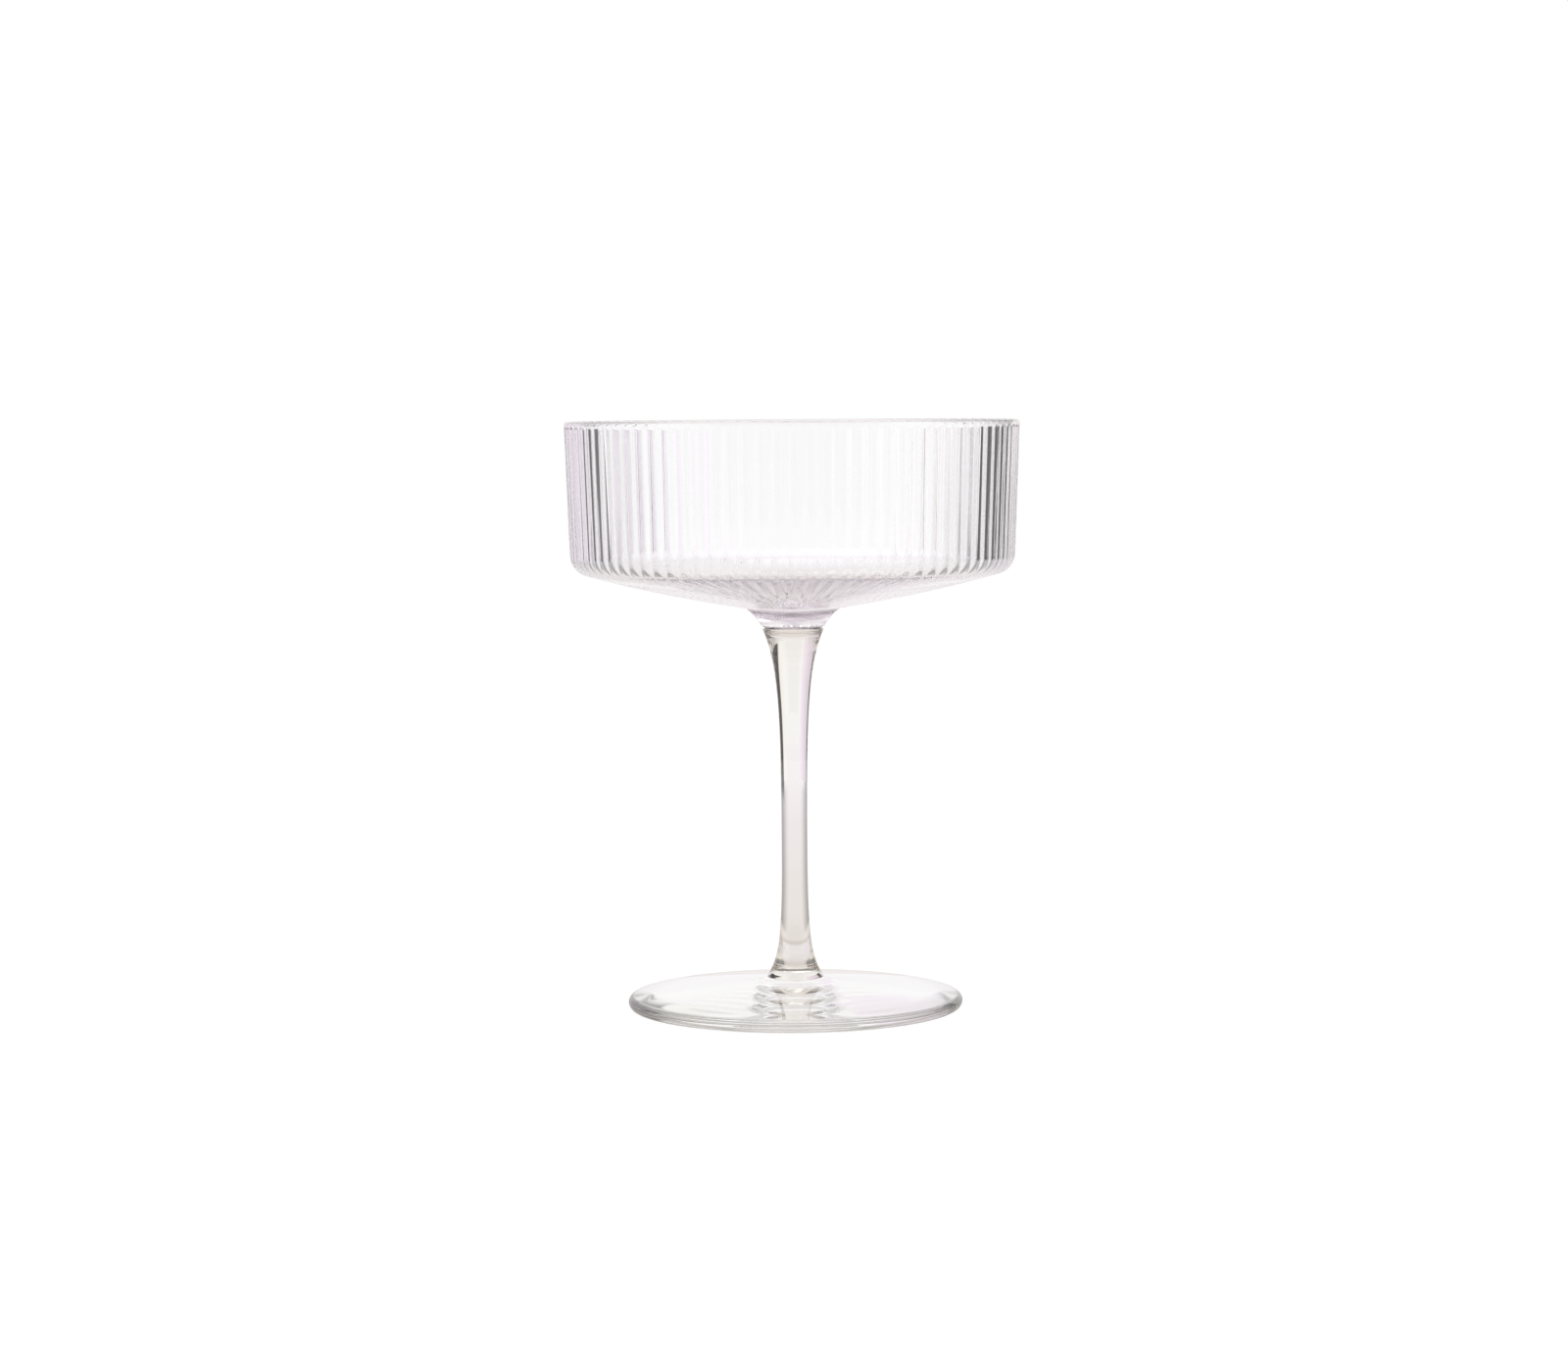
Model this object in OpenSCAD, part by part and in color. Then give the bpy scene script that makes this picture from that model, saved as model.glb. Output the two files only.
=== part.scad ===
// Ribbed coupe glass: a wide, shallow bowl with fine upright reeds that turn in under it,
// a solid drawn stem and a flat disc foot.
// Millimetres, +Z up, origin at the middle of the foot's underside.

/* [Whole glass] */
// Height from the table to the rim
glass_h = 135; // [120:1:165]

/* [Bowl] */
// Outside width at the rim
rim_d = 104; // [92:1:116]
// Outside width at the heel, where the wall turns in
heel_d = 101.6; // [88:0.2:112]
// Depth from the rim to the heel's corner
wall_h = 34.1; // [25:0.1:42]
// Outside radius of the heel
heel_r = 5; // [3:0.5:7]
// Rise of the underside from the neck to the heel's corner
belly_h = 8.8; // [6.5:0.1:11]
// Glass at the rim
rim_wall = 1.1; // [0.8:0.1:1.6]
// Glass at the foot of the wall
heel_wall = 1.3; // [1:0.1:2.2]
// Height of the heel's inside corner over its outside corner
base_wall = 0.9; // [0.8:0.1:2]
// Glass in the base, above the neck
floor_wall = 3; // [2:0.1:4]

/* [Ribs] */
// Number of ribs round the bowl
rib_count = 90; // [60:2:96]
// Depth of the valleys between the ribs
rib_depth = 0.4; // [0.2:0.05:0.6]
// Plain band between the rim and the ribs
rim_band = 0.9; // [0.9:0.1:5]
// Length over which the ribs rise from the plain band
rib_run = 0.9; // [0.4:0.1:2]
// Bearing of the first valley, counted from +X
rib_turn = 2.5; // [0:0.5:4]

/* [Neck and stem] */
// Width where the underside turns down into the neck
neck_d = 22; // [18:0.5:26]
// Height of the neck above its seam with the stem
neck_h = 4; // [2.5:0.1:6]
// Width of the seam between the neck and the stem
seam_d = 14.8; // [11:0.1:17]
// Thinnest width of the stem
stem_d = 6; // [5:0.1:8]
// Share of the stem's length that flares out below the bowl
upper_flare_share = 0.6; // [0.4:0.01:0.62]
// Share of the stem's length that flares out above the foot
lower_flare_share = 0.34; // [0.2:0.01:0.36]
// Width of the seam between the stem and the foot
collar_d = 12.8; // [10:0.1:15]

/* [Foot] */
// Width of the foot
foot_d = 77; // [68:0.5:86]
// Glass at the foot's edge
foot_edge_h = 3; // [2:0.1:4]
// Rise of the foot's top from its edge to the collar
foot_rise = 4; // [3:0.1:6]
// Height of the fillet round the collar
collar_fillet_h = 1.1; // [0.6:0.1:2]
// Reach of the fillet round the collar
collar_fillet_w = 2.2; // [1:0.1:4]
// Width of the flat ring that the glass stands on
rest_w = 5; // [3:0.5:9]
// Hollow under the middle of the foot
kick_h = 1.3; // [0.6:0.1:1.8]

/* [Hidden] */
$fn = 120;

// Steps along each kind of curve
heel_steps = 4;
belly_steps = 4;
neck_steps = 3;
floor_steps = 4;
lip_steps = 4;
flare_steps = 28;
foot_steps = 8;

// Points round one rib, valley to valley
rib_points = 4;

// Power that makes the valleys broad and round and the reeds' backs a little sharper
valley_power = 1.4;

// Heights of the joints and corners
collar_z = foot_edge_h + foot_rise;
corner_z = glass_h - wall_h;
neck_z = corner_z - belly_h;
seam_z = neck_z - neck_h;
upper_flare_h = upper_flare_share * (seam_z - collar_z);
lower_flare_h = lower_flare_share * (seam_z - collar_z);

// Where each curve's handles stand, as shares of its width and of its height
belly_bow_shares = [0.5, 0.37];
neck_bow_shares = [0.29, 0.6];
floor_bow_shares = [0.42, 0.1];
upper_flare_shares = [0.58, 0.833, 0.12];
lower_flare_shares = [0.83, 0.84, 0.44];
foot_bow_shares = [0.45, 0.35];
collar_bow_shares = [0.3, 0.2];
kick_bow_shares = [0.5, 1];
edge_share = 0.5;
inner_heel_share = 0.7;

// Point on a curve with one handle, from start to finish
function bow_point(start, handle, finish, t) =
    pow(1 - t, 2) * start + 2 * (1 - t) * t * handle + t * t * finish;

// Curve with one handle, whose place is given as shares of the way across and up
function bow(start, finish, handle_shares, steps) =
    let (handle = [for (i = [0, 1]) start[i] + handle_shares[i] * (finish[i] - start[i])])
    [for (i = [0 : steps]) bow_point(start, handle, finish, i / steps)];

// Curve with two handles
function flare(start, first, second, finish, steps) =
    [for (i = [0 : steps])
        let (t = i / steps, u = 1 - t)
        pow(u, 3) * start + 3 * u * u * t * first + 3 * u * t * t * second + pow(t, 3) * finish];

// Arc that rounds the corner between two straight runs
function round_corner(start, corner, finish, radius, steps) =
    let (
        into = (corner - start) / norm(corner - start),
        out = (finish - corner) / norm(finish - corner),
        heading = atan2(into[1], into[0]),
        turn = atan2(cross(into, out), into * out),
        side = sign(turn),
        first = corner - radius * tan(abs(turn) / 2) * into,
        centre = first + radius * side * [-into[1], into[0]]
    )
    [for (i = [0 : steps])
        let (a = heading + turn * i / steps)
        centre + radius * side * [sin(a), -cos(a)]];

// Outside of the bowl below its plain band, from the seam up
neck_corner = [neck_d / 2, neck_z];
heel_corner = [heel_d / 2, corner_z];
band_corner = [rim_d / 2, glass_h - rim_band];
belly_handle = [for (i = [0, 1])
    neck_corner[i] + belly_bow_shares[i] * (heel_corner[i] - neck_corner[i])];
heel = round_corner(belly_handle, heel_corner, band_corner, heel_r, heel_steps);
neck_curve = bow([seam_d / 2, seam_z], neck_corner, neck_bow_shares, neck_steps);
neck = [for (i = [1 : neck_steps - 1]) neck_curve[i]];
belly = [for (i = [0 : belly_steps - 1]) bow_point(neck_corner, belly_handle, heel[0], i / belly_steps)];
rib_top = band_corner - rib_run * (band_corner - heel[heel_steps]) / norm(band_corner - heel[heel_steps]);
ribbed = concat(neck, belly, heel, [rib_top]);

// Lip and inside of the bowl, from the plain band over the rim and down to the middle of the floor
lip_r = rim_wall / 2;
lip_centre = [rim_d / 2 - lip_r, glass_h - lip_r];
lip = [for (i = [0 : lip_steps]) lip_centre + lip_r * [cos(180 * i / lip_steps), sin(180 * i / lip_steps)]];
inner_corner = [heel_d / 2 - heel_wall, corner_z + base_wall];
floor_middle = [0, neck_z + floor_wall];
floor_handle = [for (i = [0, 1])
    floor_middle[i] + floor_bow_shares[i] * (inner_corner[i] - floor_middle[i])];
inner_heel = round_corner(lip[lip_steps], inner_corner, floor_handle, heel_r * inner_heel_share, heel_steps);
floor_line = [for (i = [1 : floor_steps - 1])
    bow_point(inner_heel[heel_steps], floor_handle, floor_middle, i / floor_steps)];
inside = concat(lip, inner_heel, floor_line);

// Outward side of a line of points at one of them
function outward(line, i) =
    let (
        before = line[max(i - 1, 0)],
        after = line[min(i + 1, len(line) - 1)],
        along = (after - before) / norm(after - before)
    )
    [along[1], -along[0]];

// Depth of the cut between two reeds, from 0 on a reed's back to 1 in the valley
function valley(j) = pow(abs(cos(180 * j / rib_points)), valley_power);

// Ring of points with a valley between each two reeds; the reeds get finer as the ring gets smaller
function ribbed_ring(line, i) =
    let (cut = rib_depth * sqrt(line[i][0] / heel_corner[0]), side = outward(line, i))
    [for (j = [0 : rib_points * rib_count - 1])
        let (p = line[i] - cut * valley(j) * side, a = rib_turn + 360 * j / (rib_points * rib_count))
        [p[0] * cos(a), p[0] * sin(a), p[1]]];

// Smooth ring with one point to a rib
function plain_ring(p) =
    [for (j = [0 : rib_count - 1])
        let (a = rib_turn + 360 * j / rib_count)
        [p[0] * cos(a), p[0] * sin(a), p[1]]];

// Triangles between two rings of the same number of points, the first ring below or outside
function strip(low, high, n) =
    [for (j = [0 : n - 1])
        let (k = (j + 1) % n)
        each [[low + j, high + j, high + k], [low + j, high + k, low + k]]];

// Triangles between a plain ring and the ribbed ring above it
function open_out(low, high) =
    [for (j = [0 : rib_count - 1])
        let (k = (j + 1) % rib_count, half = rib_points / 2, n = rib_points * rib_count)
        each concat(
            [for (i = [0 : half - 1])
                [low + j, high + rib_points * j + i, high + rib_points * j + i + 1]],
            [[low + j, high + rib_points * j + half, low + k]],
            [for (i = [half : rib_points - 1])
                [low + k, high + rib_points * j + i, high + (rib_points * j + i + 1) % n]]
        )];

// Triangles between a ribbed ring and the plain ring above it
function close_in(low, high) =
    [for (t = open_out(high, low)) [t[0], t[2], t[1]]];

// First point of each ring, counted through the bands of rings
ribbed_n = len(ribbed);
inside_n = len(inside);
ribbed_0 = rib_count;
band_0 = ribbed_0 + ribbed_n * rib_points * rib_count;
inside_0 = band_0 + rib_count;
floor_point = inside_0 + inside_n * rib_count;

// Mould-blown bowl: smooth inside and lip, reeded outside, with the neck that the stem is sealed to
module bowl() {
    points = concat(
        plain_ring(neck_curve[0]),
        [for (i = [0 : ribbed_n - 1]) each ribbed_ring(ribbed, i)],
        plain_ring(band_corner),
        [for (p = inside) each plain_ring(p)],
        [[floor_middle[0], 0, floor_middle[1]]]
    );
    seam_face = [for (j = [0 : rib_count - 1]) j];
    last_ring = floor_point - rib_count;
    faces = concat(
        [seam_face],
        open_out(0, ribbed_0),
        [for (i = [0 : ribbed_n - 2])
            let (n = rib_points * rib_count)
            each strip(ribbed_0 + i * n, ribbed_0 + (i + 1) * n, n)],
        close_in(band_0 - rib_points * rib_count, band_0),
        [for (i = [0 : inside_n - 1])
            each strip(band_0 + i * rib_count, band_0 + (i + 1) * rib_count, rib_count)],
        [for (j = [0 : rib_count - 1]) [last_ring + j, floor_point, last_ring + (j + 1) % rib_count]]
    );
    color([0.95, 0.91, 0.95, 0.5]) polyhedron(points, faces);
}

// Solid stem, drawn out thin between its flare under the bowl and its flare on the foot
module stem() {
    waist_r = stem_d / 2;
    lower = flare(
        [collar_d / 2, collar_z],
        [waist_r + lower_flare_shares[2] * (collar_d / 2 - waist_r), collar_z + (1 - lower_flare_shares[1]) * lower_flare_h],
        [waist_r, collar_z + (1 - lower_flare_shares[0]) * lower_flare_h],
        [waist_r, collar_z + lower_flare_h],
        flare_steps
    );
    upper = flare(
        [waist_r, seam_z - upper_flare_h],
        [waist_r, seam_z - (1 - upper_flare_shares[0]) * upper_flare_h],
        [waist_r + upper_flare_shares[2] * (seam_d / 2 - waist_r), seam_z - (1 - upper_flare_shares[1]) * upper_flare_h],
        [seam_d / 2, seam_z],
        flare_steps
    );
    color([0.92, 0.91, 0.88, 0.6])
        rotate_extrude() polygon(concat([[0, collar_z]], lower, upper, [[0, seam_z]]));
}

// Disc foot: low domed top with a fillet round the stem, round edge, flat ring to stand on and a hollow middle
module foot() {
    edge_r = foot_edge_h * edge_share;
    edge_x = foot_d / 2 - edge_r;
    fillet_end = [collar_d / 2 + collar_fillet_w, collar_z - collar_fillet_h];
    fillet = bow([collar_d / 2, collar_z], fillet_end, collar_bow_shares, foot_steps);
    top = bow(fillet_end, [edge_x, foot_edge_h], foot_bow_shares, foot_steps);
    edge = [for (i = [1 : foot_steps - 1])
        let (a = 90 - 180 * i / foot_steps)
        [edge_x + edge_r * cos(a), edge_r + edge_r * sin(a)]];
    kick = bow([edge_x - rest_w, 0], [0, kick_h], kick_bow_shares, foot_steps);
    color([0.93, 0.94, 0.93, 0.6])
        rotate_extrude() polygon(concat([[0, collar_z]], fillet, top, edge, [[edge_x, 0]], kick));
}

bowl();
stem();
foot();
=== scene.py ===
import math

import bpy
from mathutils import Matrix, Vector


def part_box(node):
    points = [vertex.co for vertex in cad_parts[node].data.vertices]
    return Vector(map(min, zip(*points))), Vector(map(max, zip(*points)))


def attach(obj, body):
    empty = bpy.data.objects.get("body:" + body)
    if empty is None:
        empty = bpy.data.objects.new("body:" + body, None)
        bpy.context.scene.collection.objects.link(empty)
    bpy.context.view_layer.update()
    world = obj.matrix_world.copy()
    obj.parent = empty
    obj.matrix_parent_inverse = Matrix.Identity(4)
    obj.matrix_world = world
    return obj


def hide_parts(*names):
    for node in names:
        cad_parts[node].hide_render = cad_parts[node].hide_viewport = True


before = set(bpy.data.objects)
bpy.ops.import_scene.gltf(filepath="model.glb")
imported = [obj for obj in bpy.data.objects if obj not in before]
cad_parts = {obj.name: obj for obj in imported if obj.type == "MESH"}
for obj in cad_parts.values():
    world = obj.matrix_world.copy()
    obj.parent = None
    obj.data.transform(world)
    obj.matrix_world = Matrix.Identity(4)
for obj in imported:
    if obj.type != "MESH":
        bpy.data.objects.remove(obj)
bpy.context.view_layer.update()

bl_info = {
    "name": "Reeded coupe glass",
    "version": (1, 0, 0),
    "blender": (4, 5, 0),
    "location": "3D View > Sidebar > Coupe",
    "description": "Builds a reeded coupe glass and the plain studio that it stands in",
    "category": "Add Mesh",
}

MM = 0.001
DEGREE = math.radians(1)
FULL_TURN = 2 * math.pi

# Radii and heights taken from the frame: the rim, the seam at the neck, the collar and the foot.
BOWL_LOW, BOWL_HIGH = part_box("bowl")
STEM_LOW, STEM_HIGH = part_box("stem")
RIM_R, RIM_Z = BOWL_HIGH.x, BOWL_HIGH.z
SEAM_R, SEAM_Z = STEM_HIGH.x, BOWL_LOW.z
COLLAR_Z = STEM_LOW.z
FOOT_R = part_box("foot")[1].x

# Handles of the curves, as shares of the way across and up between the curve's two ends.
NECK_SEAT_HANDLE = (0.5, 0.0)
FOOT_SEAT_HANDLE = (0.75, 0.0)
NECK_HANDLE = (0.29, 0.6)
BELLY_HANDLE = (0.5, 0.37)
BOWL_FLOOR_HANDLE = (0.42, 0.1)
FILLET_HANDLE = (0.3, 0.2)
FOOT_TOP_HANDLE = (0.45, 0.35)
HOLLOW_HANDLE = (0.5, 1.0)

# The stem's flares: their shares of its length, and their two handles from the bottom up, as
# shares of the way from the thin stem out to the seam and from the seam along the flare.
LOWER_FLARE = 0.34
LOWER_FLARE_HANDLES = ((0.44, 0.16), (0.0, 0.17))
UPPER_FLARE = 0.6
UPPER_FLARE_HANDLES = ((0.0, 0.42), (0.12, 0.167))

# Reeds: points across each one, narrowness of its valley, where the valleys run out over the
# neck's seam, and where they fade out under the plain band.
REED_POINTS = 10
VALLEY_POWER = 1.4
REED_END, REED_RUN_OUT = 0.9 * MM, 0.6 * MM
FADE_LENGTH, FADE_STEPS = 0.9 * MM, 6

INNER_HEEL_SHARE = 0.7
SEAM_GAP = 0.02 * MM
MERGE_DISTANCE = 0.001 * MM
GLASS_IOR = 1.5

# Cards round the glass, which give its edges their dark lines: name, bearings of both ends in
# degrees from straight behind, colour, brightness at both ends and at the hem, and for a card
# whose dark part leans, the bearings where that starts at the card's foot and at its top.
CARDS = (
    ("card_right", 24, 72, "#FFFCF8", 0.06, 0.06, 0.14, (37, 26)),
    ("card_left_lavender", -53, -18, "#FBF0FC", 0.75, 1.05, 0.4, None),
    ("card_left_dark", -70, -53, "#FFFCF8", 0.12, 0.12, 0.4, None),
)
CARD_HEM = 0.03
LEAN_LOW, LEAN_HIGH = 0.09, 0.3

# Tones of the floor as the glass sees it, by distance from the glass's axis in metres, all
# painted
# light and shade: painted shade close by under the glass, lighter out to the foot's edge, and a
# dark ring, a painted shadow, just outside the foot, where the foot's own edge would shade the
# floor.
FLOOR_PAINTED_SHADING = (
    (0.0, "#E0DBD2"),
    (0.016, "#EEE9EA"),
    (0.0385, "#F4F0F2"),
    (0.0398, "#A09A90"),
    (0.045, "#A09A90"),
    (0.048, "#EDE8E4"),
    (0.12, "#F0ECEA"),
    (0.19, "#F0ECEA"),
    (0.38, "#F6F0F4"),
    (0.6, "#FDFAFD"),
    (1.4, "#FFFFFF"),
)
TONES_REACH = 2.0
FLOOR_RADIUS = 3.0
FLOOR_DROP = 0.05 * MM

# Brightness of the floor as the glass sees it. A range gives its name, what it follows (metres
# away or bearing), where it starts and ends, and its level at both ends. A mix gives its name,
# its operation and the two levels that it takes.
FLOOR_RANGES = (
    ("behind", "aside", 12 * DEGREE, 56 * DEGREE, 1.02, 0.47),
    ("as_card", "aside", 24 * DEGREE, 62 * DEGREE, 1.04, 0.3),
    ("beside_card", "away", 0.3, 0.6, 0.0, 1.0),
    ("distant", "away", 0.36, 0.6, 1.0, 0.12),
    ("not_right", "bearing", 32 * DEGREE, 44 * DEGREE, 1.0, 0.0),
    ("in_front", "aside", 85 * DEGREE, 115 * DEGREE, 0.0, 1.0),
    ("close_by", "away", 0.06, 0.1, 1.0, 0.0),
    ("far", "away", 0.75, 1.0, 0.0, 1.02),
)
FLOOR_MIXES = (
    ("under_cards", "MULTIPLY", "as_card", "beside_card"),
    ("either_side", "MAXIMUM", "behind", "under_cards"),
    ("right_side", "MAXIMUM", "distant", "not_right"),
    ("dim", "MINIMUM", "either_side", "right_side"),
    ("near_lit", "MAXIMUM", "in_front", "close_by"),
    ("lit", "MAXIMUM", "near_lit", "far"),
    ("shade", "MAXIMUM", "dim", "lit"),
)

# Brightness of the room as the glass sees it, by direction.
ROOM_RANGES = (
    ("overhead", "up", 0.5, 0.85, 1.04, 0.95),
    ("in_front", "back", -0.5, -0.85, 1.04, 0.3),
    ("behind", "sideways", 0.12, 0.3, 0.98, 1.04),
)
ROOM_MIXES = (
    ("ends", "MINIMUM", "overhead", "in_front"),
    ("room", "MINIMUM", "ends", "behind"),
)

LAMP_PLACE = (-0.3, -0.2, 1.2)


def linear(hex_colour):
    """Linear red, green, blue and alpha of an sRGB hex colour."""
    channels = [int(hex_colour[i:i + 2], 16) / 255 for i in (1, 3, 5)]
    return [c / 12.92 if c <= 0.04045 else ((c + 0.055) / 1.055) ** 2.4 for c in channels] + [1.0]


class CoupeBowlSettings(bpy.types.PropertyGroup):
    """Sizes and tint of the bowl."""

    rib_count: bpy.props.IntProperty(
        name="Ribs", description="Reeds round the bowl", default=90, min=60, max=96
    )
    rib_depth: bpy.props.FloatProperty(
        name="Rib depth",
        description="Depth of the valleys between reeds at the heel",
        default=0.4 * MM,
        unit="LENGTH",
    )
    rib_turn: bpy.props.FloatProperty(
        name="Rib turn",
        description="Bearing of the first valley from +X",
        default=math.radians(2.5),
        subtype="ANGLE",
    )
    heel_width: bpy.props.FloatProperty(
        name="Heel width",
        description="Outside width where the wall turns in",
        default=101.6 * MM,
        unit="LENGTH",
    )
    heel_radius: bpy.props.FloatProperty(
        name="Heel radius",
        description="Outside radius of the heel",
        default=5 * MM,
        unit="LENGTH",
    )
    wall_height: bpy.props.FloatProperty(
        name="Wall height",
        description="Depth from the rim to the heel's corner",
        default=34.1 * MM,
        unit="LENGTH",
    )
    belly_height: bpy.props.FloatProperty(
        name="Belly height",
        description="Rise of the underside from neck to heel",
        default=8.8 * MM,
        unit="LENGTH",
    )
    rim_wall: bpy.props.FloatProperty(
        name="Rim glass",
        description="Thickness of the glass at the rim",
        default=1.1 * MM,
        unit="LENGTH",
    )
    heel_wall: bpy.props.FloatProperty(
        name="Heel glass",
        description="Thickness of the wall at the heel",
        default=1.3 * MM,
        unit="LENGTH",
    )
    base_wall: bpy.props.FloatProperty(
        name="Base glass",
        description="Height of the inside corner over the outside one",
        default=0.9 * MM,
        unit="LENGTH",
    )
    floor_wall: bpy.props.FloatProperty(
        name="Floor glass",
        description="Height of the floor's middle over the neck",
        default=3 * MM,
        unit="LENGTH",
    )
    rim_band: bpy.props.FloatProperty(
        name="Plain band",
        description="Height of the plain band above the ribs",
        default=0.9 * MM,
        unit="LENGTH",
    )
    neck_width: bpy.props.FloatProperty(
        name="Neck width",
        description="Width where the underside turns into the neck",
        default=22 * MM,
        unit="LENGTH",
    )
    seat_depth: bpy.props.FloatProperty(
        name="Seat depth",
        description="Depth of the round seat that the neck makes in the stem",
        default=2 * MM,
        unit="LENGTH",
    )
    seam_radius: bpy.props.FloatProperty(
        name="Seam radius",
        description="Radius of the edges on both sides of the seam",
        default=0.45 * MM,
        unit="LENGTH",
    )
    tint: bpy.props.FloatVectorProperty(
        name="Bowl tint",
        description="Colour that the bowl's glass takes on with thickness",
        default=linear("#E9C4E0"),
        size=4,
        min=0,
        max=1,
        subtype="COLOR",
    )


class CoupeStemSettings(bpy.types.PropertyGroup):
    """Sizes and tints of the stem and the foot."""

    stem_width: bpy.props.FloatProperty(
        name="Stem width",
        description="Thinnest width of the stem",
        default=6 * MM,
        unit="LENGTH",
    )
    collar_width: bpy.props.FloatProperty(
        name="Collar width",
        description="Width of the seam between stem and foot",
        default=12.8 * MM,
        unit="LENGTH",
    )
    edge_height: bpy.props.FloatProperty(
        name="Edge height",
        description="Thickness of the foot's edge",
        default=3 * MM,
        unit="LENGTH",
    )
    fillet_height: bpy.props.FloatProperty(
        name="Fillet height",
        description="Drop of the fillet round the collar",
        default=1.1 * MM,
        unit="LENGTH",
    )
    fillet_reach: bpy.props.FloatProperty(
        name="Fillet reach",
        description="Reach of the fillet round the collar",
        default=2.2 * MM,
        unit="LENGTH",
    )
    rest_width: bpy.props.FloatProperty(
        name="Resting ring",
        description="Width of the flat ring under the foot",
        default=5 * MM,
        unit="LENGTH",
    )
    kick_height: bpy.props.FloatProperty(
        name="Hollow",
        description="Height of the hollow under the foot",
        default=1.3 * MM,
        unit="LENGTH",
    )
    seat_depth: bpy.props.FloatProperty(
        name="Seat depth",
        description="Depth of the round seat that the stem's end makes in the foot",
        default=1.6 * MM,
        unit="LENGTH",
    )
    stem_tint: bpy.props.FloatVectorProperty(
        name="Stem tint",
        description="Colour that the stem's glass takes on with thickness",
        default=linear("#E8E1D6"),
        size=4,
        min=0,
        max=1,
        subtype="COLOR",
    )
    foot_tint: bpy.props.FloatVectorProperty(
        name="Foot tint",
        description="Colour that the foot's glass takes on with thickness",
        default=linear("#E2DFD8"),
        size=4,
        min=0,
        max=1,
        subtype="COLOR",
    )


class CoupeStudioSettings(bpy.types.PropertyGroup):
    """Camera and surroundings."""

    lens: bpy.props.FloatProperty(
        name="Lens",
        description="Focal length in millimetres",
        default=85.0,
        unit="CAMERA",
    )
    distance: bpy.props.FloatProperty(
        name="Distance",
        description="Camera to the glass's axis, along the floor",
        default=0.8473,
        unit="LENGTH",
    )
    height: bpy.props.FloatProperty(
        name="Height",
        description="Camera above the floor",
        default=0.1384,
        unit="LENGTH",
    )
    aside: bpy.props.FloatProperty(
        name="Aside",
        description="Camera to the left of the glass's axis",
        default=0.00217,
        unit="LENGTH",
    )
    pitch: bpy.props.FloatProperty(
        name="Pitch",
        description="Camera's tilt down",
        default=math.radians(4.25),
        subtype="ANGLE",
    )
    roll: bpy.props.FloatProperty(
        name="Roll",
        description="Camera's tilt to its right",
        default=math.radians(0.4),
        subtype="ANGLE",
    )
    card_distance: bpy.props.FloatProperty(
        name="Card distance",
        description="Cards to the glass's axis",
        default=0.6,
        unit="LENGTH",
    )
    card_height: bpy.props.FloatProperty(
        name="Card height",
        description="Height of the cards",
        default=0.3,
        unit="LENGTH",
    )


def add_node(tree, kind, settings=None, links=None):
    """Adds a node, sets its properties and sockets, and links its inputs."""
    node = tree.nodes.new(kind)
    for name, value in (settings or {}).items():
        if isinstance(name, str) and hasattr(node, name):
            setattr(node, name, value)
        else:
            node.inputs[name].default_value = value
    for name, source in (links or {}).items():
        tree.links.new(source, node.inputs[name])
    return node


def new_tree(name):
    """Empty node tree of a new material, and the material."""
    material = bpy.data.materials.new(name)
    material.use_nodes = True
    material.node_tree.nodes.clear()
    return material, material.node_tree


def studio_levels(tree, levels, ranges, mixes):
    """Adds the smooth ranges and then the mixes to the levels, and returns the last of them."""
    for name, source, start, end, first, last in ranges:
        limits = {"From Min": start, "From Max": end, "To Min": first, "To Max": last}
        ramp = add_node(
            tree,
            "ShaderNodeMapRange",
            {"interpolation_type": "SMOOTHSTEP", **limits},
            {"Value": levels[source]},
        )
        levels[name] = ramp.outputs["Result"]
    for name, operation, one, other in mixes:
        mix = add_node(
            tree, "ShaderNodeMath", {"operation": operation}, {0: levels[one], 1: levels[other]}
        )
        levels[name] = mix.outputs[0]
    return levels[name]


def glass(name, tint, density, ripple_mm, ripple_height_mm):
    """Soda-lime glass: clear, mirror-smooth, tinted with thickness and very faintly rippled."""
    material, tree = new_tree(name)
    place = add_node(tree, "ShaderNodeTexCoord").outputs["Object"]
    ripple = add_node(
        tree,
        "ShaderNodeTexNoise",
        {"Scale": 1 / (ripple_mm * MM), "Detail": 1.0, "Roughness": 0.4},
        {"Vector": place},
    )
    bump = add_node(
        tree,
        "ShaderNodeBump",
        {"Strength": 1.0, "Distance": ripple_height_mm * MM},
        {"Height": ripple.outputs["Fac"]},
    )
    surface = add_node(
        tree,
        "ShaderNodeBsdfPrincipled",
        {
            "Base Color": linear("#FFFFFF"),
            "Roughness": 0.0,
            "IOR": GLASS_IOR,
            "Transmission Weight": 1.0,
        },
        {"Normal": bump.outputs["Normal"]},
    )
    body = add_node(
        tree, "ShaderNodeVolumeAbsorption", {"Color": list(tint), "Density": density}
    )
    add_node(
        tree,
        "ShaderNodeOutputMaterial",
        None,
        {"Surface": surface.outputs["BSDF"], "Volume": body.outputs["Volume"]},
    )
    return material


def between(start, finish, shares):
    """Place at these shares of the way across and up from one place to another."""
    return Vector([a + share * (b - a) for a, b, share in zip(start, finish, shares)])


def handle_curve(start, handle, finish, steps):
    """Curve from start to finish, drawn towards one handle."""
    places = [i / steps for i in range(steps + 1)]
    return [(1 - t) ** 2 * start + 2 * (1 - t) * t * handle + t * t * finish for t in places]


def bow(start, finish, shares, steps):
    """Curve with one handle, whose place is given as shares of the way across and up."""
    handle = between(start, finish, shares)
    return handle_curve(Vector(start), handle, Vector(finish), steps)


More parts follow.
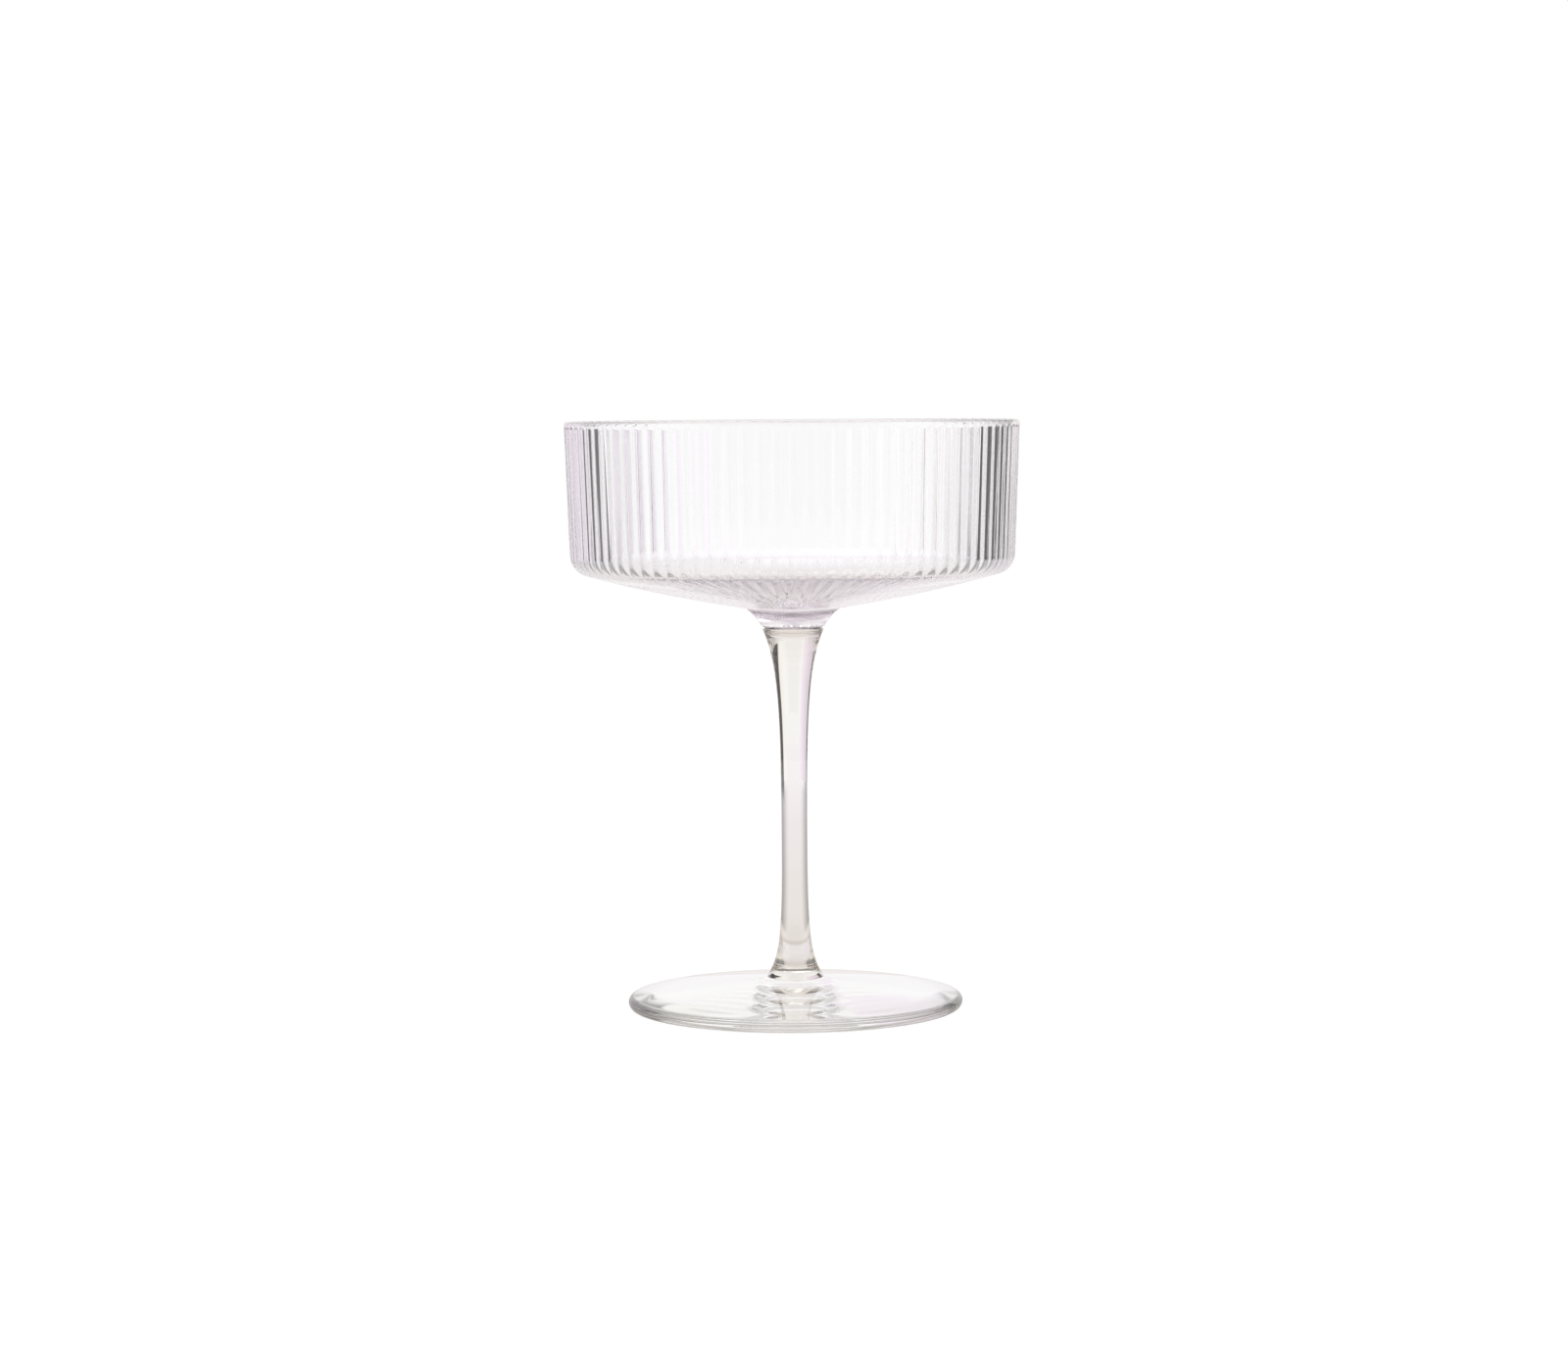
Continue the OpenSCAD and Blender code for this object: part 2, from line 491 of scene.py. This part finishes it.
def flare(start, first, second, finish, steps):
    """Curve with two handles."""
    points = [Vector(p) for p in (start, first, second, finish)]
    curve = []
    for i in range(steps + 1):
        t = i / steps
        weights = [(1 - t) ** 3, 3 * (1 - t) ** 2 * t, 3 * (1 - t) * t * t, t ** 3]
        curve.append(sum((w * p for w, p in zip(weights, points)), Vector((0, 0))))
    return curve


def arc(centre, radius, start, finish, steps):
    """Arc round a centre, from one angle to another."""
    angles = [start + (finish - start) * i / steps for i in range(steps + 1)]
    return [centre + radius * Vector((math.cos(a), math.sin(a))) for a in angles]


def round_corner(start, corner, finish, radius, steps):
    """Arc that rounds the corner between two straight runs."""
    into = (corner - start).normalized()
    out = (finish - corner).normalized()
    turn = math.atan2(into.x * out.y - into.y * out.x, into.dot(out))
    side = math.copysign(radius, turn)
    first = corner - radius * math.tan(abs(turn) / 2) * into
    centre = first + side * Vector((-into.y, into.x))
    heading = math.atan2(into.y, into.x) - math.pi / 2
    return arc(centre, side, heading, heading + turn, steps)


def start_point(name, place):
    """New object of one point, selected in edit mode."""
    bpy.ops.object.select_all(action="DESELECT")
    bpy.ops.mesh.primitive_plane_add(size=MM, location=(0, 0, 0))
    piece = bpy.context.active_object
    piece.name = name
    bpy.ops.object.mode_set(mode="EDIT")
    bpy.ops.mesh.select_mode(type="VERT")
    bpy.ops.mesh.select_all(action="SELECT")
    bpy.ops.mesh.merge(type="CENTER")
    bpy.ops.transform.translate(value=place)
    return piece


def drawn_slice(name, outline, slices, steps):
    """One slice of a solid of revolution: a point is drawn along the outline, then spun."""
    piece = start_point(name, (outline[0].x, 0, outline[0].y))
    for before, after in zip(outline, outline[1:]):
        step = after - before
        bpy.ops.mesh.extrude_vertices_move(
            TRANSFORM_OT_translate={"value": (step.x, 0, step.y)}
        )
    bpy.ops.mesh.select_all(action="SELECT")
    bpy.ops.mesh.spin(steps=steps, angle=FULL_TURN / slices, center=(0, 0, 0), axis=(0, 0, 1))
    bpy.ops.mesh.select_all(action="SELECT")
    bpy.ops.mesh.remove_doubles(threshold=MERGE_DISTANCE)
    bpy.ops.object.mode_set(mode="OBJECT")
    return piece


def close_round(piece, slices):
    """Repeats the slice all round the axis and joins the copies."""
    bpy.ops.object.empty_add(location=(0, 0, 0), rotation=(0, 0, -FULL_TURN / slices))
    hub = bpy.context.active_object
    bpy.ops.object.select_all(action="DESELECT")
    piece.select_set(True)
    bpy.context.view_layer.objects.active = piece
    ring = piece.modifiers.new("Round", "ARRAY")
    ring.count = slices
    ring.use_relative_offset = False
    ring.use_object_offset = True
    ring.offset_object = hub
    bpy.ops.object.modifier_apply(modifier=ring.name)
    bpy.data.objects.remove(hub)
    bpy.ops.object.mode_set(mode="EDIT")
    bpy.ops.mesh.select_all(action="SELECT")
    bpy.ops.mesh.remove_doubles(threshold=MERGE_DISTANCE)
    bpy.ops.mesh.normals_make_consistent(inside=False)
    bpy.ops.object.mode_set(mode="OBJECT")


def finish_piece(piece, node, material):
    """Gives the finished piece its glass, and puts it in place of its plain solid."""
    piece.data.materials.clear()
    piece.data.materials.append(material)
    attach(piece, "root")
    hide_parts(node)


class COUPE_OT_bowl(bpy.types.Operator):
    """Turns the bowl, then presses the reeds into its outside"""

    bl_idname = "coupe.bowl"
    bl_label = "Reeded bowl"

    def outline(self, size):
        """Outline of the bowl and each point's share of the rib depth."""
        corner_z = RIM_Z - size.wall_height
        neck_z = corner_z - size.belly_height
        heel_r = size.heel_width / 2
        neck_corner = Vector((size.neck_width / 2, neck_z))
        heel_corner = Vector((heel_r, corner_z))
        band_corner = Vector((RIM_R, RIM_Z - size.rim_band))
        seat_middle = (0, SEAM_Z - size.seat_depth)
        seat = bow(seat_middle, (SEAM_R, SEAM_Z), NECK_SEAT_HANDLE, steps=12)
        neck = bow((SEAM_R, SEAM_Z), neck_corner, NECK_HANDLE, steps=12)
        seam = round_corner(seat[-2], seat[-1], neck[1], size.seam_radius, steps=5)
        belly_handle = between(neck_corner, heel_corner, BELLY_HANDLE)
        heel = round_corner(belly_handle, heel_corner, band_corner, size.heel_radius, steps=16)
        belly = handle_curve(neck_corner, belly_handle, heel[0], steps=14)
        fade_start = band_corner - FADE_LENGTH * (band_corner - heel[-1]).normalized()
        fade = [fade_start.lerp(band_corner, i / FADE_STEPS) for i in range(FADE_STEPS + 1)]
        lip_r = size.rim_wall / 2
        lip = arc(Vector((RIM_R - lip_r, RIM_Z - lip_r)), lip_r, 0, math.pi, steps=12)
        inner_corner = Vector((heel_r - size.heel_wall, corner_z + size.base_wall))
        middle = Vector((0, neck_z + size.floor_wall))
        floor_handle = between(middle, inner_corner, BOWL_FLOOR_HANDLE)
        inner_r = INNER_HEEL_SHARE * size.heel_radius
        inner_heel = round_corner(lip[-1], inner_corner, floor_handle, inner_r, steps=14)
        floor = handle_curve(inner_heel[-1], floor_handle, middle, steps=12)
        points = seat[:-1] + seam
        shares = [0.0] * len(points)
        for p in neck[1:-1]:
            above = (p.y - SEAM_Z - REED_END) / REED_RUN_OUT
            points.append(p)
            shares.append(math.sqrt(p.x / heel_r) * min(1.0, max(0.0, above)))
        for p in belly[:-1] + heel:
            points.append(p)
            shares.append(math.sqrt(p.x / heel_r))
        for i, p in enumerate(fade):
            points.append(p)
            shares.append(p.x / heel_r * 0.5 * (1 + math.cos(math.pi * i / FADE_STEPS)))
        for p in lip + inner_heel + floor[1:]:
            points.append(p)
            shares.append(0.0)
        return points, shares

    def execute(self, context):
        size = context.scene.coupe_bowl
        points, shares = self.outline(size)
        piece = drawn_slice("reeded_bowl", points, size.rib_count, REED_POINTS)
        group = piece.vertex_groups.new(name="valleys")
        rib_angle = FULL_TURN / size.rib_count
        for v in piece.data.vertices:
            place = Vector((math.hypot(v.co.x, v.co.y), v.co.z))
            nearest = min(range(len(points)), key=lambda i: (points[i] - place).length)
            if shares[nearest] > 0:
                across = math.pi * math.atan2(v.co.y, v.co.x) / rib_angle
                valley = abs(math.cos(across)) ** VALLEY_POWER
                group.add([v.index], shares[nearest] * valley, "REPLACE")
        close_round(piece, size.rib_count)
        press = piece.modifiers.new("Reeds", "DISPLACE")
        press.vertex_group = "valleys"
        press.direction = "NORMAL"
        press.mid_level = 0
        press.strength = -size.rib_depth
        bpy.ops.object.modifier_apply(modifier=press.name)
        piece.vertex_groups.clear()
        bpy.ops.object.mode_set(mode="EDIT")
        bpy.ops.mesh.select_all(action="SELECT")
        bpy.ops.transform.rotate(
            value=-size.rib_turn, orient_axis="Z", center_override=(0, 0, 0)
        )
        bpy.ops.object.mode_set(mode="OBJECT")
        bpy.ops.object.shade_smooth_by_angle(angle=30 * DEGREE)
        # Blown into a ribbed mould and fire polished: clear where it is seen face on, and
        # lavender where the light runs along the wall, at the heel and in the neck.
        material = glass(
            "Pink-lavender blown glass",
            size.tint,
            density=5.0,
            ripple_mm=6,
            ripple_height_mm=0.004,
        )
        finish_piece(piece, "bowl", material)
        return {"FINISHED"}


class COUPE_OT_stem(bpy.types.Operator):
    """Turns the solid stem with its two flares"""

    bl_idname = "coupe.stem"
    bl_label = "Drawn stem"

    def execute(self, context):
        size = context.scene.coupe_stem
        bowl = context.scene.coupe_bowl
        waist_r = size.stem_width / 2
        collar_r = size.collar_width / 2
        top_z = SEAM_Z - SEAM_GAP
        low_z = COLLAR_Z + SEAM_GAP
        length = top_z - low_z
        low_waist_z = low_z + LOWER_FLARE * length
        top_waist_z = top_z - UPPER_FLARE * length
        seat = bow((0, low_z - size.seat_depth), (collar_r, low_z), FOOT_SEAT_HANDLE, steps=10)
        lower_handles = [
            between((waist_r, low_z), (collar_r, low_waist_z), shares)
            for shares in LOWER_FLARE_HANDLES
        ]
        lower = flare((collar_r, low_z), *lower_handles, (waist_r, low_waist_z), steps=32)
        upper_handles = [
            between((waist_r, top_z), (SEAM_R, top_waist_z), shares)
            for shares in UPPER_FLARE_HANDLES
        ]
        upper = flare((waist_r, top_waist_z), *upper_handles, (SEAM_R, top_z), steps=40)
        cup = bow((0, top_z - bowl.seat_depth), (SEAM_R, top_z), NECK_SEAT_HANDLE, steps=12)
        cup.reverse()
        seam = round_corner(upper[-2], cup[0], cup[1], bowl.seam_radius, steps=5)
        outline = seat[:-1] + lower + upper[:-1] + seam + cup[1:]
        slices = 16
        piece = drawn_slice("drawn_stem", outline, slices, steps=8)
        close_round(piece, slices)
        bpy.ops.object.shade_smooth_by_angle(angle=40 * DEGREE)
        # Drawn out hot and left as it cooled: a liquid skin, and a warm grey that deepens
        # where the stem grows thick.
        material = glass(
            "Drawn pale glass",
            size.stem_tint,
            density=50.0,
            ripple_mm=12,
            ripple_height_mm=0.01,
        )
        finish_piece(piece, "stem", material)
        return {"FINISHED"}


class COUPE_OT_foot(bpy.types.Operator):
    """Turns the disc foot with its fillet, round edge and hollow"""

    bl_idname = "coupe.foot"
    bl_label = "Disc foot"

    def execute(self, context):
        size = context.scene.coupe_stem
        edge_r = size.edge_height / 2
        edge_x = FOOT_R - edge_r
        collar = Vector((size.collar_width / 2, COLLAR_Z))
        fillet_end = Vector((collar.x + size.fillet_reach, collar.y - size.fillet_height))
        seat = bow((0, COLLAR_Z - size.seat_depth), collar, FOOT_SEAT_HANDLE, steps=10)
        fillet = bow(collar, fillet_end, FILLET_HANDLE, steps=10)
        top = bow(fillet_end, (edge_x, size.edge_height), FOOT_TOP_HANDLE, steps=16)
        edge = arc(Vector((edge_x, edge_r)), edge_r, math.pi / 2, -math.pi / 2, steps=16)
        rest_x = edge_x - size.rest_width
        hollow = bow((rest_x, 0), (0, size.kick_height), HOLLOW_HANDLE, steps=16)
        outline = seat[:-1] + fillet + top[1:] + edge[1:] + hollow
        slices = 32
        piece = drawn_slice("disc_foot", outline, slices, steps=8)
        close_round(piece, slices)
        bpy.ops.object.shade_smooth_by_angle(angle=40 * DEGREE)
        # Pressed, then fire polished: nearly clear through the disc, and greyer at its edge.
        material = glass(
            "Pressed pale glass",
            size.foot_tint,
            density=4.0,
            ripple_mm=12,
            ripple_height_mm=0.01,
        )
        finish_piece(piece, "foot", material)
        return {"FINISHED"}


class COUPE_OT_studio(bpy.types.Operator):
    """Adds the floor, cards, lamp, surroundings and camera"""

    bl_idname = "coupe.studio"
    bl_label = "Studio"

    def bearings(self, tree):
        """What the floor and the cards follow: place, height and bearing from straight behind."""
        place = add_node(tree, "ShaderNodeTexCoord").outputs["Object"]
        parts = add_node(tree, "ShaderNodeSeparateXYZ", None, {0: place})
        bearing = add_node(
            tree,
            "ShaderNodeMath",
            {"operation": "ARCTAN2"},
            {0: parts.outputs["X"], 1: parts.outputs["Y"]},
        )
        return place, parts.outputs["Z"], bearing.outputs[0]

    def floor_painted_shading(self, tree, away):
        """Painted light and shade of the floor, as the glass sees it, by its distance from the
        glass's axis.
        """
        share = add_node(
            tree, "ShaderNodeMath", {"operation": "DIVIDE", 1: TONES_REACH}, {0: away}
        )
        painted_tone = add_node(tree, "ShaderNodeValToRGB", None, {"Fac": share.outputs[0]})
        stops = painted_tone.color_ramp.elements
        stops[0].position, stops[1].position = [at / TONES_REACH for at, _ in FLOOR_PAINTED_SHADING[:2]]
        for at, _ in FLOOR_PAINTED_SHADING[2:]:
            stops.new(at / TONES_REACH)
        for stop, (_, colour) in zip(stops, FLOOR_PAINTED_SHADING):
            stop.color = linear(colour)
        return painted_tone.outputs["Color"]

    def floor(self):
        """Floor that the camera sees white, with the glass's shadow on it.

        The glass sees it in painted light and shade: beige and darker close by, with a painted
        shadow just outside the foot, and darker to the sides, which draws the dark lines of the
        foot and of the lower stem.
        """
        bpy.ops.object.select_all(action="DESELECT")
        bpy.ops.mesh.primitive_circle_add(
            vertices=96, radius=FLOOR_RADIUS, fill_type="NGON", location=(0, 0, -FLOOR_DROP)
        )
        floor = bpy.context.active_object
        floor.name = "studio_floor"
        material, tree = new_tree("Pale matt floor")
        path = add_node(tree, "ShaderNodeLightPath").outputs
        place, _, bearing = self.bearings(tree)
        away = add_node(tree, "ShaderNodeVectorMath", {"operation": "LENGTH"}, {0: place})
        aside = add_node(tree, "ShaderNodeMath", {"operation": "ABSOLUTE"}, {0: bearing})
        levels = {
            "bearing": bearing,
            "aside": aside.outputs[0],
            "away": away.outputs["Value"],
        }
        shade = studio_levels(tree, levels, FLOOR_RANGES, FLOOR_MIXES)
        painted_tone = self.floor_painted_shading(tree, levels["away"])
        # Glow that the glass sees in place of the lit floor: painted tones with painted shade as
        # its strength.
        painted_shade_in_glass = add_node(
            tree, "ShaderNodeEmission", None, {"Color": painted_tone, "Strength": shade}
        )
        base = add_node(
            tree, "ShaderNodeEmission", {"Color": linear("#FFFFFF"), "Strength": 0.9}
        )
        matt = add_node(tree, "ShaderNodeBsdfDiffuse", {"Color": [0.15, 0.15, 0.15, 1]})
        seen = add_node(
            tree, "ShaderNodeAddShader", None, {0: base.outputs[0], 1: matt.outputs[0]}
        )
        through = add_node(
            tree,
            "ShaderNodeMath",
            {"operation": "MAXIMUM"},
            {0: path["Is Glossy Ray"], 1: path["Is Transmission Ray"]},
        )
        both = add_node(
            tree,
            "ShaderNodeMixShader",
            None,
            {0: through.outputs[0], 1: seen.outputs[0], 2: painted_shade_in_glass.outputs[0]},
        )
        add_node(tree, "ShaderNodeOutputMaterial", None, {"Surface": both.outputs[0]})
        floor.data.materials.append(material)

    def card_material(self, name, span, colour, brightness, hem_level, lean):
        """Light that runs from one brightness to another across the card, and may lean."""
        material, tree = new_tree(name)
        _, height, bearing = self.bearings(tree)
        across = add_node(
            tree,
            "ShaderNodeMapRange",
            {
                "From Min": span[0],
                "From Max": span[1],
                "To Min": brightness[0],
                "To Max": brightness[1],
            },
            {"Value": bearing},
        )
        levels = {"height": height, "bearing": bearing, "across": across.outputs["Result"]}
        strength = studio_levels(
            tree,
            levels,
            [("hem", "height", 0.0, CARD_HEM, hem_level, 0.0)],
            [("card", "MAXIMUM", "across", "hem")],
        )
        if lean:
            low, high = [edge * DEGREE for edge in lean]
            studio_levels(
                tree,
                levels,
                [("edge", "height", LEAN_LOW, LEAN_HIGH, low, high)],
                [("past", "SUBTRACT", "bearing", "edge")],
            )
            strength = studio_levels(
                tree,
                levels,
                [("white", "past", -0.03, 0.1, 1.04, 0.0)],
                [("card", "MAXIMUM", "card", "white")],
            )
        light = add_node(
            tree, "ShaderNodeEmission", {"Color": linear(colour)}, {"Strength": strength}
        )
        add_node(tree, "ShaderNodeOutputMaterial", None, {"Surface": light.outputs[0]})
        return material

    def cards(self, size):
        """Curved cards that only the glass sees, in its reflections and through its walls."""
        for name, start, end, colour, inner, outer, hem_level, lean in CARDS:
            start, end = start * DEGREE, end * DEGREE
            across, back = math.sin(start), math.cos(start)
            foot = (size.card_distance * across, size.card_distance * back, 0)
            card = start_point(name, foot)
            bpy.ops.mesh.extrude_vertices_move(
                TRANSFORM_OT_translate={"value": (0, 0, size.card_height)}
            )
            bpy.ops.mesh.select_all(action="SELECT")
            bpy.ops.mesh.spin(steps=12, angle=end - start, center=(0, 0, 0), axis=(0, 0, 1))
            bpy.ops.object.mode_set(mode="OBJECT")
            card.visible_camera = False
            card.visible_diffuse = False
            card.visible_shadow = False
            card.data.materials.append(
                self.card_material(name, (start, end), colour, (inner, outer), hem_level, lean)
            )

    def lamp(self):
        """Wide soft box above the glass."""
        bpy.ops.object.light_add(type="AREA", location=LAMP_PLACE)
        lamp = bpy.context.active_object
        lamp.name = "soft_box"
        lamp.data.shape = "RECTANGLE"
        lamp.data.size = 1.0
        lamp.data.size_y = 0.8
        lamp.data.energy = 3.0
        lamp.rotation_euler = Vector(LAMP_PLACE).to_track_quat("Z", "Y").to_euler()

    def surroundings(self, scene):
        """Room that the camera sees white; the glass sees it darker in front of it."""
        world = bpy.data.worlds.new("White studio")
        scene.world = world
        world.use_nodes = True
        tree = world.node_tree
        tree.nodes.clear()
        place = add_node(tree, "ShaderNodeTexCoord").outputs["Generated"]
        parts = add_node(tree, "ShaderNodeSeparateXYZ", None, {0: place}).outputs
        sideways = add_node(tree, "ShaderNodeMath", {"operation": "ABSOLUTE"}, {0: parts["X"]})
        levels = {"up": parts["Z"], "back": parts["Y"], "sideways": sideways.outputs[0]}
        room = studio_levels(tree, levels, ROOM_RANGES, ROOM_MIXES)
        path = add_node(tree, "ShaderNodeLightPath").outputs
        level = add_node(
            tree, "ShaderNodeMix", {"B": 1.0}, {"Factor": path["Is Camera Ray"], "A": room}
        )
        white = add_node(
            tree,
            "ShaderNodeBackground",
            {"Color": linear("#FFFFFF")},
            {"Strength": level.outputs[0]},
        )
        add_node(tree, "ShaderNodeOutputWorld", None, {"Surface": white.outputs[0]})

    def camera(self, scene, size):
        """Camera at the photograph's angle."""
        bpy.ops.object.camera_add(location=(-size.aside, -size.distance, size.height))
        camera = bpy.context.active_object
        camera.name = "front_camera"
        camera.data.sensor_width = 36.0
        camera.data.lens = size.lens
        tilt = Matrix.Rotation(math.pi / 2 - size.pitch, 4, "X")
        camera.rotation_euler = (tilt @ Matrix.Rotation(-size.roll, 4, "Z")).to_euler()
        scene.camera = camera

    def execute(self, context):
        scene = context.scene
        size = scene.coupe_studio
        self.floor()
        self.cards(size)
        self.lamp()
        self.surroundings(scene)
        self.camera(scene, size)
        scene.view_settings.view_transform = "Standard"
        scene.cycles.max_bounces = 32
        scene.cycles.transmission_bounces = 32
        scene.cycles.glossy_bounces = 16
        return {"FINISHED"}


class COUPE_PT_panel(bpy.types.Panel):
    """Lists the pieces of the glass and its studio"""

    bl_idname = "COUPE_PT_panel"
    bl_label = "Coupe glass"
    bl_space_type = "VIEW_3D"
    bl_region_type = "UI"
    bl_category = "Coupe"

    def draw(self, context):
        for kind in (COUPE_OT_bowl, COUPE_OT_stem, COUPE_OT_foot, COUPE_OT_studio):
            self.layout.operator(kind.bl_idname)


CLASSES = (
    CoupeBowlSettings,
    CoupeStemSettings,
    CoupeStudioSettings,
    COUPE_OT_bowl,
    COUPE_OT_stem,
    COUPE_OT_foot,
    COUPE_OT_studio,
    COUPE_PT_panel,
)


def register():
    for kind in CLASSES:
        bpy.utils.register_class(kind)
    bpy.types.Scene.coupe_bowl = bpy.props.PointerProperty(type=CoupeBowlSettings)
    bpy.types.Scene.coupe_stem = bpy.props.PointerProperty(type=CoupeStemSettings)
    bpy.types.Scene.coupe_studio = bpy.props.PointerProperty(type=CoupeStudioSettings)


def unregister():
    del bpy.types.Scene.coupe_studio
    del bpy.types.Scene.coupe_stem
    del bpy.types.Scene.coupe_bowl
    for kind in reversed(CLASSES):
        bpy.utils.unregister_class(kind)


def main():
    register()
    bpy.ops.coupe.bowl()
    bpy.ops.coupe.stem()
    bpy.ops.coupe.foot()
    bpy.ops.coupe.studio()


if __name__ == "__main__":
    main()
